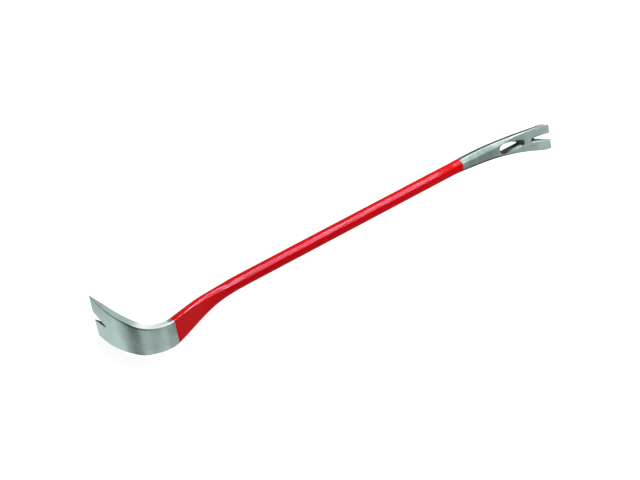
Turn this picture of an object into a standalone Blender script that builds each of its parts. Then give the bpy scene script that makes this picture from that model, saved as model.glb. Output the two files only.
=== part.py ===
"""Crowbar: one forged octagonal steel bar with a wide notched foot and a slotted nail claw, in a red coat.

The shaft runs along X, the foot bends towards +Y, the claw curves towards -Y, and Z is across the bar.
Lengths are in metres and turns in degrees.
"""
import math
from collections import namedtuple

import bmesh
import bpy
import numpy as np

Section = namedtuple("Section", "width depth chamfer")

# Shaft: a straight octagonal bar, measured over its coat
SHAFT_ACROSS_FLATS = 0.0180
SHAFT_LENGTH = 0.3856

# Red coat: a bonded skin, let into the steel so that it ends flush with the bare metal
COAT_THICKNESS = 0.0007
COAT_CLEARANCE = 0.0003
COAT_LAP_ON_HEEL = 0.0040
COAT_LAP_ON_CLAW = 0.0190

# Foot: neck, heel and blade, followed from the shaft outwards
NECK_RADIUS = 0.2719
NECK_TURN = 20.6
NECK_RUN = 0.0464
HEEL_RADIUS = 0.0332
HEEL_TURN = 99.5
BLADE_CURVE_RADIUS = 0.2411
BLADE_CURVE_TURN = 16.2
BLADE_RUN = 0.0392

# Sections of the foot: width across Z, depth in the plane of the bend, leg of the corner chamfers
NECK_MIDDLE_FROM_SHAFT = 0.0389
NECK_MIDDLE = Section(width=0.0200, depth=0.0160, chamfer=0.0051)
NECK_END = Section(width=0.0299, depth=0.0129, chamfer=0.0033)
HEEL_START = Section(width=0.0352, depth=0.0120, chamfer=0.0016)
HEEL_MIDDLE = Section(width=0.0373, depth=0.0151, chamfer=0.0019)
HEEL_END = Section(width=0.0446, depth=0.0138, chamfer=0.0018)
BLADE_CURVE_END = Section(width=0.0573, depth=0.0087, chamfer=0.0012)
BLADE_EDGE = Section(width=0.0616, depth=0.0013, chamfer=0.0003)

# Claw: a slow curve that tightens, followed from the shaft outwards
CLAW_EASE_RADIUS = 0.4000
CLAW_EASE_TURN = 9.1
CLAW_BEND_RADIUS = 0.2120
CLAW_BEND_TURN = 28.9

# Sections of the claw, and how far from its tip each one stands
CLAW_ROOT_FROM_TIP = 0.1286
CLAW_ROOT = Section(width=0.0217, depth=0.0184, chamfer=0.0060)
CLAW_SHOULDER_FROM_TIP = 0.0861
CLAW_SHOULDER = Section(width=0.0251, depth=0.0164, chamfer=0.0053)
CLAW_WAIST_FROM_TIP = 0.0521
CLAW_WAIST = Section(width=0.0301, depth=0.0086, chamfer=0.0016)
CLAW_PLATE_FROM_TIP = 0.0265
CLAW_PLATE = Section(width=0.0362, depth=0.0066, chamfer=0.0010)
CLAW_CORNER_FROM_TIP = 0.0090
CLAW_CORNER = Section(width=0.0414, depth=0.0037, chamfer=0.0006)
CLAW_TIP = Section(width=0.0388, depth=0.0022, chamfer=0.0004)

# Nail notch in the foot's edge: a plain V with a small round at its root
FOOT_NOTCH_DEPTH = 0.0420
FOOT_NOTCH_MOUTH = 0.0124
FOOT_NOTCH_ROOT_RADIUS = 0.0009

# Nail notch in the claw: wide on the outer face and narrow behind, so that it seats a nail head,
# with a straight land at the back over a share of the plate's thickness
CLAW_NOTCH_DEPTH = 0.0296
CLAW_NOTCH_MOUTH = 0.0114
CLAW_NOTCH_ROOT_RADIUS = 0.0042
CLAW_NOTCH_BACK_DEPTH = 0.0236
CLAW_NOTCH_BACK_MOUTH = 0.0102
CLAW_NOTCH_BACK_ROOT_RADIUS = 0.0010
CLAW_NOTCH_LAND = 0.15

# Teardrop slot behind the claw's notch, with its wide end towards the shaft: its narrow end is
# countersunk from the outer face to a point behind
SLOT_WIDE_RADIUS = 0.0078
SLOT_WIDE_FROM_TIP = 0.0742
SLOT_NARROW_RADIUS = 0.0056
SLOT_NARROW_FROM_TIP = 0.0454
SLOT_BACK_WIDE_RADIUS = 0.0074
SLOT_BACK_NARROW_RADIUS = 0.0010
SLOT_BACK_NARROW_FROM_TIP = 0.0514
SLOT_LAND = 0.15
SLOT_BEVEL = 0.0006

# Fineness of the surface
EDGE_RADIUS = 0.0008
CORNER_STEPS = 2
NECK_STEPS = 16
NECK_RUN_STEPS = 6
HEEL_STEPS = 26
BLADE_CURVE_STEPS = 8
BLADE_RUN_STEPS = 9
COAT_LAP_STEPS = 4
CLAW_EASE_STEPS = 10
CLAW_BEND_STEPS = 25
CLAW_CORNER_STEPS = 3
ROUND_STEPS = 8
CUT_STEPS = 6
CUT_MARGIN = 0.0030
NOTCH_OVERSHOOT = 0.5
SMOOTH_BELOW = 35.0

STEEL_COLOUR = (0.40, 0.44, 0.42, 1.0)
STEEL_ROUGHNESS = 0.38
COAT_COLOUR = (0.60, 0.004, 0.010, 1.0)
COAT_ROUGHNESS = 0.22

EIGHTH_TURN = math.radians(45)
OCTAGON_CHAMFER = SHAFT_ACROSS_FLATS * (1 - math.tan(EIGHTH_TURN / 2)) / 2
SHAFT = Section(SHAFT_ACROSS_FLATS, SHAFT_ACROSS_FLATS, OCTAGON_CHAMFER)


# Centre line: each leg is its length and its turn, positive towards +Y

def arc(radius, turn):
    """A leg that bends through turn degrees."""
    return radius * math.radians(abs(turn)), math.radians(turn)


FOOT_LEGS = (
    arc(NECK_RADIUS, -NECK_TURN),
    (NECK_RUN, 0.0),
    arc(HEEL_RADIUS, HEEL_TURN),
    arc(BLADE_CURVE_RADIUS, BLADE_CURVE_TURN),
    (BLADE_RUN, 0.0),
)
CLAW_LEGS = (
    arc(CLAW_EASE_RADIUS, -CLAW_EASE_TURN),
    arc(CLAW_BEND_RADIUS, -CLAW_BEND_TURN),
)


def leg_ends(legs):
    """Distances at which the legs begin and end."""
    return [0.0] + list(np.cumsum([length for length, turn in legs]))


# Distance along the bar: 0 where the shaft meets the neck, growing towards the claw
NECK_END_AT, HEEL_START_AT, HEEL_END_AT, BLADE_CURVE_END_AT, BLADE_EDGE_AT = (
    -distance for distance in leg_ends(FOOT_LEGS)[1:]
)
CLAW_BEND_AT, CLAW_TIP_AT = (SHAFT_LENGTH + distance for distance in leg_ends(CLAW_LEGS)[1:])
FOOT_BORDER_AT = HEEL_START_AT - COAT_LAP_ON_HEEL
CLAW_BORDER_AT = SHAFT_LENGTH + COAT_LAP_ON_CLAW

SECTIONS = (
    (BLADE_EDGE_AT, BLADE_EDGE),
    (BLADE_CURVE_END_AT, BLADE_CURVE_END),
    (HEEL_END_AT, HEEL_END),
    ((HEEL_END_AT + HEEL_START_AT) / 2, HEEL_MIDDLE),
    (HEEL_START_AT, HEEL_START),
    (NECK_END_AT, NECK_END),
    (-NECK_MIDDLE_FROM_SHAFT, NECK_MIDDLE),
    (0.0, SHAFT),
    (SHAFT_LENGTH, SHAFT),
    (CLAW_TIP_AT - CLAW_ROOT_FROM_TIP, CLAW_ROOT),
    (CLAW_TIP_AT - CLAW_SHOULDER_FROM_TIP, CLAW_SHOULDER),
    (CLAW_TIP_AT - CLAW_WAIST_FROM_TIP, CLAW_WAIST),
    (CLAW_TIP_AT - CLAW_PLATE_FROM_TIP, CLAW_PLATE),
    (CLAW_TIP_AT - CLAW_CORNER_FROM_TIP, CLAW_CORNER),
    (CLAW_TIP_AT, CLAW_TIP),
)


def follow(legs, distance):
    """Point and heading after a distance along the legs, starting along +X at the origin."""
    x = y = heading = 0.0
    for index, (length, turn) in enumerate(legs):
        last = index == len(legs) - 1
        step = min(distance, length)
        if turn:
            radius = length / turn
            turned = heading + step / radius
            x += radius * (math.sin(turned) - math.sin(heading))
            y += radius * (math.cos(heading) - math.cos(turned))
            heading = turned
        else:
            x += step * math.cos(heading)
            y += step * math.sin(heading)
        distance -= step
        if last or distance <= 0:
            break
    return x + distance * math.cos(heading), y + distance * math.sin(heading), heading


def centre_line(along):
    """Point on the centre line and the unit normal that is +Y on the shaft."""
    if along < 0:
        x, y, heading = follow(FOOT_LEGS, -along)
        return -x, y, math.sin(heading), math.cos(heading)
    if along > SHAFT_LENGTH:
        x, y, heading = follow(CLAW_LEGS, along - SHAFT_LENGTH)
        return SHAFT_LENGTH + x, y, -math.sin(heading), math.cos(heading)
    return along, 0.0, 0.0, 1.0


def in_bar(along, inward, across):
    """World point at a distance along the bar, inward from its centre line and across it."""
    x, y, normal_x, normal_y = centre_line(along)
    return x + inward * normal_x, y + inward * normal_y, across


def smooth_through(places, values, at):
    """Cubic curve through the values that never overshoots between two of them."""
    places = np.array(places)
    values = np.array(values)
    gaps = np.diff(places)
    slopes = np.diff(values) / gaps
    tangents = np.concatenate([slopes[:1], np.zeros(len(values) - 2), slopes[-1:]])
    for i in range(1, len(values) - 1):
        if slopes[i - 1] * slopes[i] > 0:
            before = 2 * gaps[i] + gaps[i - 1]
            after = gaps[i] + 2 * gaps[i - 1]
            tangents[i] = (before + after) / (before / slopes[i - 1] + after / slopes[i])
    at = min(max(at, places[0]), places[-1])
    i = min(int(np.searchsorted(places, at, side="right")) - 1, len(gaps) - 1)
    t = (at - places[i]) / gaps[i]
    start = values[i] * (1 + 2 * t) * (1 - t) ** 2 + gaps[i] * tangents[i] * t * (1 - t) ** 2
    end = values[i + 1] * t * t * (3 - 2 * t) - gaps[i] * tangents[i + 1] * t * t * (1 - t)
    return float(start + end)


def section_at(along, inset=0.0):
    """The bar's section at a distance along it, drawn in by an inset all round."""
    places = [place for place, section in SECTIONS]
    width, depth, chamfer = (
        smooth_through(places, [section[k] for place, section in SECTIONS], along) for k in range(3)
    )
    width -= 2 * inset
    depth -= 2 * inset
    chamfer -= inset * (2 - math.sqrt(2))
    return Section(width, depth, chamfer)


# Section outline: a chamfered oblong whose eight corners are rounded a little

def round_corners(corners, radius, steps):
    """The outline with each corner replaced by an arc of the radius, in steps."""
    points = []
    for i, corner in enumerate(corners):
        corner = np.array(corner)
        back = np.array(corners[i - 1]) - corner
        ahead = np.array(corners[(i + 1) % len(corners)]) - corner
        back /= np.linalg.norm(back)
        ahead /= np.linalg.norm(ahead)
        half = math.acos(float(back @ ahead)) / 2
        towards = (back + ahead) / np.linalg.norm(back + ahead)
        centre = corner + towards * radius / math.sin(half)
        first = corner + back * radius / math.tan(half) - centre
        sweep = math.pi - 2 * half
        for k in range(steps + 1):
            turn = sweep * k / steps
            cos, sin = math.cos(turn), math.sin(turn)
            points.append((
                centre[0] + first[0] * cos - first[1] * sin,
                centre[1] + first[0] * sin + first[1] * cos,
            ))
    return points


def section_outline(section):
    """Points (inward, across) of a section, anticlockwise."""
    side = section.width / 2
    face = section.depth / 2
    leg = section.chamfer
    corners = (
        (face, side - leg), (face - leg, side), (leg - face, side), (-face, side - leg),
        (-face, leg - side), (leg - face, -side), (face - leg, -side), (face, leg - side),
    )
    radius = min(EDGE_RADIUS, leg)
    return round_corners(corners, radius, CORNER_STEPS)


def section_ring(along, inset=0.0):
    """World points of the section's outline, square to the bar."""
    outline = section_outline(section_at(along, inset))
    return [in_bar(along, inward, across) for inward, across in outline]


# Stations along the bar

def spread(start, end, steps):
    """Distances from start up to end, without the end itself."""
    return list(np.linspace(start, end, steps, endpoint=False))


def foot_stations():
    """From the blade's edge to the coat's border."""
    return (
        spread(BLADE_EDGE_AT, BLADE_CURVE_END_AT, BLADE_RUN_STEPS)
        + spread(BLADE_CURVE_END_AT, HEEL_END_AT, BLADE_CURVE_STEPS)
        + spread(HEEL_END_AT, FOOT_BORDER_AT, HEEL_STEPS)
        + [FOOT_BORDER_AT]
    )


def coated_stations(start, end):
    """From one end of the coat's seat, or of the coat, to the other."""
    return (
        spread(start, HEEL_START_AT, COAT_LAP_STEPS)
        + spread(HEEL_START_AT, NECK_END_AT, NECK_RUN_STEPS)
        + spread(NECK_END_AT, 0.0, NECK_STEPS)
        + spread(0.0, SHAFT_LENGTH, 1)
        + spread(SHAFT_LENGTH, end, COAT_LAP_STEPS)
        + [end]
    )


def claw_stations():
    """From the coat's border to the claw's tip."""
    corner_at = CLAW_TIP_AT - CLAW_CORNER_FROM_TIP
    return (
        spread(CLAW_BORDER_AT, CLAW_BEND_AT, CLAW_EASE_STEPS)
        + spread(CLAW_BEND_AT, corner_at, CLAW_BEND_STEPS)
        + spread(corner_at, CLAW_TIP_AT, CLAW_CORNER_STEPS)
        + [CLAW_TIP_AT]
    )


# Meshes

def loft(name, rings, tube=False):
    """A closed body through rings of equally many points, capped, or joined end to start as a tube."""
    mesh = bpy.data.meshes.new(name)
    bm = bmesh.new()
    loops = [[bm.verts.new(point) for point in ring] for ring in rings]
    if tube:
        loops.append(loops[0])
    for near, far in zip(loops, loops[1:]):
        for i in range(len(near)):
            bm.faces.new((near[i - 1], near[i], far[i], far[i - 1]))
    if not tube:
        bm.faces.new(loops[0])
        bm.faces.new(loops[-1][::-1])
    bmesh.ops.recalc_face_normals(bm, faces=bm.faces)
    bm.to_mesh(mesh)
    bm.free()
    return mesh


def steel_rings():
    """The bare foot, the seat let in for the coat, and the bare claw."""
    seat = COAT_THICKNESS + COAT_CLEARANCE
    rings = [section_ring(along) for along in foot_stations()]
    rings += [section_ring(along, seat) for along in coated_stations(FOOT_BORDER_AT, CLAW_BORDER_AT)]
    rings += [section_ring(along) for along in claw_stations()]
    return rings


def coat_rings():
    """Outside of the coat from the foot to the claw, then its inside back again."""
    stations = coated_stations(FOOT_BORDER_AT + COAT_CLEARANCE, CLAW_BORDER_AT - COAT_CLEARANCE)
    outside = [section_ring(along) for along in stations]
    inside = [section_ring(along, COAT_THICKNESS) for along in reversed(stations)]
    return outside + inside


# Cuts: an outline given by its distance from an end and its place across, sunk from the outer face

def cut_rings(outlines, end_at, inwards):
    """Rings of a cutter: each outline lies at a depth below the outer face, in parts of the bar's depth."""
    rings = []
    for outline, (share, extra) in zip(outlines, inwards):
        ring = []
        for from_end, across in outline:
            along = end_at + from_end
            depth = section_at(along).depth
            ring.append(in_bar(along, depth * (share - 0.5) + extra, across))
        rings.append(ring)
    return rings


def half_circle(centre, radius, direction, steps):
    """Arc round the far end of an outline, from its -Z side to its +Z side."""
    angles = [math.pi * (k / steps - 0.5) for k in range(steps + 1)]
    return [(centre + direction * radius * math.cos(a), radius * math.sin(a)) for a in angles]


def straight_between(start, end, steps):
    """Points of a straight side, without its ends."""
    return [
        (start[0] + (end[0] - start[0]) * k / steps, start[1] + (end[1] - start[1]) * k / steps)
        for k in range(1, steps)
    ]


def notch_outline(direction, depth, mouth, root_radius):
    """A V that opens past the bar's end, with a round root; direction points from the end into the bar."""
    root_centre = depth - root_radius
    flare = (mouth / 2 - root_radius) / root_centre
    outside = -direction * CUT_MARGIN
    half_outside = mouth / 2 + flare * CUT_MARGIN
    root = half_circle(direction * root_centre, root_radius, direction, ROUND_STEPS)
    near = (outside, -half_outside)
    far = (outside, half_outside)
    return (
        [near] + straight_between(near, root[0], CUT_STEPS)
        + root + straight_between(root[-1], far, CUT_STEPS) + [far]
    )


def teardrop_outline(wide, narrow, narrow_from_tip):
    """The slot's outline: two round ends of the given radii and their common tangents."""
    lean = math.asin((wide - narrow) / (SLOT_WIDE_FROM_TIP - narrow_from_tip))
    points = []
    for centre, radius, start, sweep in (
        (-narrow_from_tip, narrow, -math.pi / 2 + lean, math.pi - 2 * lean),
        (-SLOT_WIDE_FROM_TIP, wide, math.pi / 2 - lean, math.pi + 2 * lean),
    ):
        arc_points = [start + sweep * k / (2 * ROUND_STEPS) for k in range(2 * ROUND_STEPS + 1)]
        ends = [(centre + radius * math.cos(a), radius * math.sin(a)) for a in arc_points]
        if points:
            points += straight_between(points[-1], ends[0], CUT_STEPS)
        points += ends
    return points + straight_between(points[-1], points[0], CUT_STEPS)


def foot_notch_rings():
    outline = notch_outline(1, FOOT_NOTCH_DEPTH, FOOT_NOTCH_MOUTH, FOOT_NOTCH_ROOT_RADIUS)
    return cut_rings([outline, outline], BLADE_EDGE_AT, [(0, -CUT_MARGIN), (1, CUT_MARGIN)])


def claw_notch_rings():
    front = notch_outline(-1, CLAW_NOTCH_DEPTH, CLAW_NOTCH_MOUTH, CLAW_NOTCH_ROOT_RADIUS)
    back = notch_outline(-1, CLAW_NOTCH_BACK_DEPTH, CLAW_NOTCH_BACK_MOUTH, CLAW_NOTCH_BACK_ROOT_RADIUS)
    sunk = 1 - CLAW_NOTCH_LAND
    growth = NOTCH_OVERSHOOT / sunk
    beyond = [(f[0] + (f[0] - b[0]) * growth, f[1] + (f[1] - b[1]) * growth) for f, b in zip(front, back)]
    inwards = [(-NOTCH_OVERSHOOT, 0), (sunk, 0), (1, CUT_MARGIN)]
    return cut_rings([beyond, back, back], CLAW_TIP_AT, inwards)


def slot_rings():
    front = teardrop_outline(SLOT_WIDE_RADIUS, SLOT_NARROW_RADIUS, SLOT_NARROW_FROM_TIP)
    back = teardrop_outline(SLOT_BACK_WIDE_RADIUS, SLOT_BACK_NARROW_RADIUS, SLOT_BACK_NARROW_FROM_TIP)
    let_out = SLOT_BEVEL + CUT_MARGIN
    beyond = teardrop_outline(SLOT_WIDE_RADIUS + let_out, SLOT_NARROW_RADIUS + let_out, SLOT_NARROW_FROM_TIP)
    inwards = [(0, -CUT_MARGIN), (0, SLOT_BEVEL), (1 - SLOT_LAND, 0), (1, CUT_MARGIN)]
    return cut_rings([beyond, front, back, back], CLAW_TIP_AT, inwards)


# Scene

def clear_scene():
    for old in list(bpy.data.objects):
        bpy.data.objects.remove(old, do_unlink=True)


def new_collection(name):
    collection = bpy.data.collections.new(name)
    bpy.context.scene.collection.children.link(collection)
    return collection


def make_material(name, colour, metallic, roughness):
    material = bpy.data.materials.new(name)
    material.use_nodes = True
    shader = material.node_tree.nodes["Principled BSDF"]
    shader.inputs["Base Color"].default_value = colour
    shader.inputs["Metallic"].default_value = metallic
    shader.inputs["Roughness"].default_value = roughness
    return material


def add_part(name, mesh, material, collection, parent):
    part = bpy.data.objects.new(name, mesh)
    collection.objects.link(part)
    part.parent = parent
    mesh.materials.append(material)
    mesh.shade_smooth()
    mesh.set_sharp_from_angle(angle=math.radians(SMOOTH_BELOW))
    return part


def cut(part, name, rings, collection):
    cutter = bpy.data.objects.new(name, loft(name, rings))
    collection.objects.link(cutter)
    cutter.parent = part.parent
    cutter.hide_render = True
    cutter.display_type = "WIRE"
    boolean = part.modifiers.new(name, "BOOLEAN")
    boolean.operation = "DIFFERENCE"
    boolean.solver = "EXACT"
    boolean.object = cutter


def base_centre(mesh):
    """Middle of the mesh's box at its lowest level, where the part's origin goes."""
    corners = np.array([vertex.co[:] for vertex in mesh.vertices])
    low, high = corners.min(axis=0), corners.max(axis=0)
    return (low[0] + high[0]) / 2, (low[1] + high[1]) / 2, low[2]


def build_crowbar():
    clear_scene()
    parts = new_collection("crowbar")
    cutters = new_collection("crowbar_cutters")

    steel_mesh = loft("forged_bar", steel_rings())
    origin = bpy.data.objects.new("crowbar_origin", None)
    parts.objects.link(origin)
    origin.location = [-value for value in base_centre(steel_mesh)]

    steel = make_material("forged_steel", STEEL_COLOUR, 1.0, STEEL_ROUGHNESS)
    bar = add_part("forged_bar", steel_mesh, steel, parts, origin)
    cut(bar, "foot_notch", foot_notch_rings(), cutters)
    cut(bar, "claw_notch", claw_notch_rings(), cutters)
    cut(bar, "hanging_slot", slot_rings(), cutters)

    coat = make_material("red_coat", COAT_COLOUR, 0.0, COAT_ROUGHNESS)
    add_part("red_coat", loft("red_coat", coat_rings(), tube=True), coat, parts, origin)
    bpy.context.view_layer.update()


build_crowbar()
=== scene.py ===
import math
from collections import namedtuple

import bmesh
import bpy
import numpy as np
from mathutils import Matrix, Vector
from mathutils.kdtree import KDTree


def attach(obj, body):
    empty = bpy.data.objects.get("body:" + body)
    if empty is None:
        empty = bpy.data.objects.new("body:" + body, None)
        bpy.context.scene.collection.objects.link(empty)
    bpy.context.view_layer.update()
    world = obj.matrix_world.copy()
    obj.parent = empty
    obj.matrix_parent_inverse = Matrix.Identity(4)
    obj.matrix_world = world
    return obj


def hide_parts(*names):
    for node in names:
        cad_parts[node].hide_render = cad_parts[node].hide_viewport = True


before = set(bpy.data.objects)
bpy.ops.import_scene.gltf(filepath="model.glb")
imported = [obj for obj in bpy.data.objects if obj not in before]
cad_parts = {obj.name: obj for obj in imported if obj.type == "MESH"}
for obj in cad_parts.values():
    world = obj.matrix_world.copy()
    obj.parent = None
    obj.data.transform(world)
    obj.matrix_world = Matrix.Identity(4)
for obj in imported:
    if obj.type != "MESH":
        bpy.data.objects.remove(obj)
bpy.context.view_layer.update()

# The crowbar: a forged octagonal steel bar with a wide notched foot and a slotted nail claw, in a red coat.
# Lengths are in metres and turns in degrees. The shaft runs along X, the foot bends towards +Y,
# the claw curves towards -Y, and Z is across the bar.

Section = namedtuple("Section", "width depth chamfer")

# Shaft: a straight octagonal bar, measured over its coat
SHAFT_ACROSS_FLATS = 0.0180
SHAFT_LENGTH = 0.3856

# Red coat: a baked skin that ends flush with the bare metal, with rounded borders and a hairline seam
COAT_THICKNESS = 0.0007
COAT_EDGE_ROUND = 0.0003
COAT_SEAM = 0.00004

# The coat laps over the start of the heel and the root of the claw
COAT_LAP_ON_HEEL = 0.0040
COAT_LAP_ON_CLAW = 0.0190

# Foot: neck, heel and blade, followed from the shaft outwards
NECK_RADIUS = 0.2719
NECK_TURN = 20.6
NECK_RUN = 0.0464
HEEL_RADIUS = 0.0332
HEEL_TURN = 99.5
BLADE_CURVE_RADIUS = 0.2411
BLADE_CURVE_TURN = 16.2
BLADE_RUN = 0.0392

# Sections of the foot: width across Z, depth in the plane of the bend, leg of the corner chamfers
NECK_MIDDLE_FROM_SHAFT = 0.0389
NECK_MIDDLE = Section(width=0.0200, depth=0.0160, chamfer=0.0051)
NECK_END = Section(width=0.0299, depth=0.0129, chamfer=0.0033)
HEEL_START = Section(width=0.0352, depth=0.0120, chamfer=0.0016)
HEEL_MIDDLE = Section(width=0.0373, depth=0.0151, chamfer=0.0019)
HEEL_END = Section(width=0.0446, depth=0.0138, chamfer=0.0018)
BLADE_CURVE_END = Section(width=0.0573, depth=0.0087, chamfer=0.0012)
BLADE_EDGE = Section(width=0.0616, depth=0.0013, chamfer=0.0003)

# Claw: a slow curve that tightens, followed from the shaft outwards
CLAW_EASE_RADIUS = 0.4000
CLAW_EASE_TURN = 9.1
CLAW_BEND_RADIUS = 0.2120
CLAW_BEND_TURN = 28.9

# Sections of the claw, and how far from its tip each one stands
CLAW_ROOT_FROM_TIP = 0.1286
CLAW_ROOT = Section(width=0.0217, depth=0.0184, chamfer=0.0060)
CLAW_SHOULDER_FROM_TIP = 0.0861
CLAW_SHOULDER = Section(width=0.0251, depth=0.0164, chamfer=0.0053)
CLAW_WAIST_FROM_TIP = 0.0521
CLAW_WAIST = Section(width=0.0301, depth=0.0086, chamfer=0.0016)
CLAW_PLATE_FROM_TIP = 0.0265
CLAW_PLATE = Section(width=0.0362, depth=0.0066, chamfer=0.0010)
CLAW_CORNER_FROM_TIP = 0.0090
CLAW_CORNER = Section(width=0.0414, depth=0.0037, chamfer=0.0006)
CLAW_TIP = Section(width=0.0388, depth=0.0022, chamfer=0.0004)

# Nail notch in the foot's edge: a plain V with a small round at its root
FOOT_NOTCH_DEPTH = 0.0420
FOOT_NOTCH_MOUTH = 0.0124
FOOT_NOTCH_ROOT_RADIUS = 0.0009

# Nail notch in the claw: wide on the outer face and narrow behind, so that it seats a nail head,
# with a straight land at the back, given as a share of the plate's thickness
CLAW_NOTCH_DEPTH = 0.0296
CLAW_NOTCH_MOUTH = 0.0114
CLAW_NOTCH_ROOT_RADIUS = 0.0042
CLAW_NOTCH_BACK_DEPTH = 0.0236
CLAW_NOTCH_BACK_MOUTH = 0.0102
CLAW_NOTCH_BACK_ROOT_RADIUS = 0.0010
CLAW_NOTCH_LAND = 0.15

# Teardrop slot behind the claw's notch, with its wide end towards the shaft: its narrow end is
# countersunk from the outer face to a point behind
SLOT_WIDE_RADIUS = 0.0078
SLOT_WIDE_FROM_TIP = 0.0742
SLOT_NARROW_RADIUS = 0.0056
SLOT_NARROW_FROM_TIP = 0.0454
SLOT_BACK_WIDE_RADIUS = 0.0074
SLOT_BACK_NARROW_RADIUS = 0.0010
SLOT_BACK_NARROW_FROM_TIP = 0.0514
SLOT_LAND = 0.15

# Broken edges of the cuts, as quarter rounds
SLOT_LIP = 0.0006
NOTCH_LIP = 0.0003

# Rounding of the section's eight corners, in the steel and in the coat
STEEL_EDGE_RADIUS = 0.0010
COAT_EDGE_RADIUS = 0.0017

# Fineness of the surface: steps round a corner and over a flat, step along the bar,
# and steps round a cut's end, along its side and over its broken edge
CORNER_STEPS = 6
FLAT_STEPS = 3
STATION_STEP = 0.0016
ROUND_STEPS = 20
CUT_STEPS = 14
LIP_STEPS = 4

# How far a cutter reaches past the surface, and the claw notch's past the outer face in parts of the depth
CUT_MARGIN = 0.0030
NOTCH_OVERSHOOT = 0.5

# Facets that meet at a smaller turn than this are shaded as one surface
SMOOTH_BELOW = 28.0

# Step of the centre line's samples that the materials follow
GUIDE_STEP = 0.0005

EIGHTH_TURN = math.radians(45)
OCTAGON_CHAMFER = SHAFT_ACROSS_FLATS * (1 - math.tan(EIGHTH_TURN / 2)) / 2
SHAFT = Section(SHAFT_ACROSS_FLATS, SHAFT_ACROSS_FLATS, OCTAGON_CHAMFER)


# Centre line: each leg is its length and its turn, positive towards +Y

def arc(radius, turn):
    """A leg that bends through turn degrees."""
    return radius * math.radians(abs(turn)), math.radians(turn)


FOOT_LEGS = (
    arc(NECK_RADIUS, -NECK_TURN),
    (NECK_RUN, 0.0),
    arc(HEEL_RADIUS, HEEL_TURN),
    arc(BLADE_CURVE_RADIUS, BLADE_CURVE_TURN),
    (BLADE_RUN, 0.0),
)
CLAW_LEGS = (
    arc(CLAW_EASE_RADIUS, -CLAW_EASE_TURN),
    arc(CLAW_BEND_RADIUS, -CLAW_BEND_TURN),
)


def leg_ends(legs):
    """Distances at which the legs begin and end."""
    return [0.0] + list(np.cumsum([length for length, turn in legs]))


# Distance along the bar: 0 where the shaft meets the neck, growing towards the claw
NECK_END_AT, HEEL_START_AT, HEEL_END_AT, BLADE_CURVE_END_AT, BLADE_EDGE_AT = (
    -distance for distance in leg_ends(FOOT_LEGS)[1:]
)
CLAW_TIP_AT = SHAFT_LENGTH + leg_ends(CLAW_LEGS)[-1]
FOOT_BORDER_AT = HEEL_START_AT - COAT_LAP_ON_HEEL
CLAW_BORDER_AT = SHAFT_LENGTH + COAT_LAP_ON_CLAW

SECTIONS = (
    (BLADE_EDGE_AT, BLADE_EDGE),
    (BLADE_CURVE_END_AT, BLADE_CURVE_END),
    (HEEL_END_AT, HEEL_END),
    ((HEEL_END_AT + HEEL_START_AT) / 2, HEEL_MIDDLE),
    (HEEL_START_AT, HEEL_START),
    (NECK_END_AT, NECK_END),
    (-NECK_MIDDLE_FROM_SHAFT, NECK_MIDDLE),
    (0.0, SHAFT),
    (SHAFT_LENGTH, SHAFT),
    (CLAW_TIP_AT - CLAW_ROOT_FROM_TIP, CLAW_ROOT),
    (CLAW_TIP_AT - CLAW_SHOULDER_FROM_TIP, CLAW_SHOULDER),
    (CLAW_TIP_AT - CLAW_WAIST_FROM_TIP, CLAW_WAIST),
    (CLAW_TIP_AT - CLAW_PLATE_FROM_TIP, CLAW_PLATE),
    (CLAW_TIP_AT - CLAW_CORNER_FROM_TIP, CLAW_CORNER),
    (CLAW_TIP_AT, CLAW_TIP),
)


def follow(legs, distance):
    """Point and heading after a distance along the legs, starting along +X at the origin.
    Past the last leg the line runs straight on."""
    x = y = heading = 0.0
    for length, turn in legs:
        step = min(distance, length)
        if turn:
            radius = length / turn
            turned = heading + step / radius
            x += radius * (math.sin(turned) - math.sin(heading))
            y += radius * (math.cos(heading) - math.cos(turned))
            heading = turned
        else:
            x += step * math.cos(heading)
            y += step * math.sin(heading)
        distance -= step
        if distance <= 0:
            break
    return x + distance * math.cos(heading), y + distance * math.sin(heading), heading


def centre_line(along):
    """Point on the centre line and the unit normal that is +Y on the shaft."""
    if along < 0:
        x, y, heading = follow(FOOT_LEGS, -along)
        return -x, y, math.sin(heading), math.cos(heading)
    if along > SHAFT_LENGTH:
        x, y, heading = follow(CLAW_LEGS, along - SHAFT_LENGTH)
        return SHAFT_LENGTH + x, y, -math.sin(heading), math.cos(heading)
    return along, 0.0, 0.0, 1.0


def in_bar(along, inward, across):
    """Point at a distance along the bar, inward from its centre line and across it."""
    x, y, normal_x, normal_y = centre_line(along)
    return x + inward * normal_x, y + inward * normal_y, across


def smooth_through(places, values, at):
    """Cubic curve through the values that never overshoots between two of them."""
    places = np.array(places)
    values = np.array(values)
    gaps = np.diff(places)
    slopes = np.diff(values) / gaps
    tangents = np.concatenate([slopes[:1], np.zeros(len(values) - 2), slopes[-1:]])
    for i in range(1, len(values) - 1):
        if slopes[i - 1] * slopes[i] > 0:
            before = 2 * gaps[i] + gaps[i - 1]
            after = gaps[i] + 2 * gaps[i - 1]
            tangents[i] = (before + after) / (before / slopes[i - 1] + after / slopes[i])
    at = min(max(at, places[0]), places[-1])
    i = min(int(np.searchsorted(places, at, side="right")) - 1, len(gaps) - 1)
    t = (at - places[i]) / gaps[i]
    start = values[i] * (1 + 2 * t) * (1 - t) ** 2 + gaps[i] * tangents[i] * t * (1 - t) ** 2
    end = values[i + 1] * t * t * (3 - 2 * t) - gaps[i] * tangents[i + 1] * t * t * (1 - t)
    return float(start + end)


def section_at(along, inset=0.0):
    """The bar's section at a distance along it, drawn in by an inset all round."""
    places = [place for place, section in SECTIONS]
    width, depth, chamfer = (
        smooth_through(places, [section[k] for place, section in SECTIONS], along) for k in range(3)
    )
    width -= 2 * inset
    depth -= 2 * inset
    chamfer -= inset * (2 - math.sqrt(2))
    return Section(width, depth, chamfer)


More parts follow.
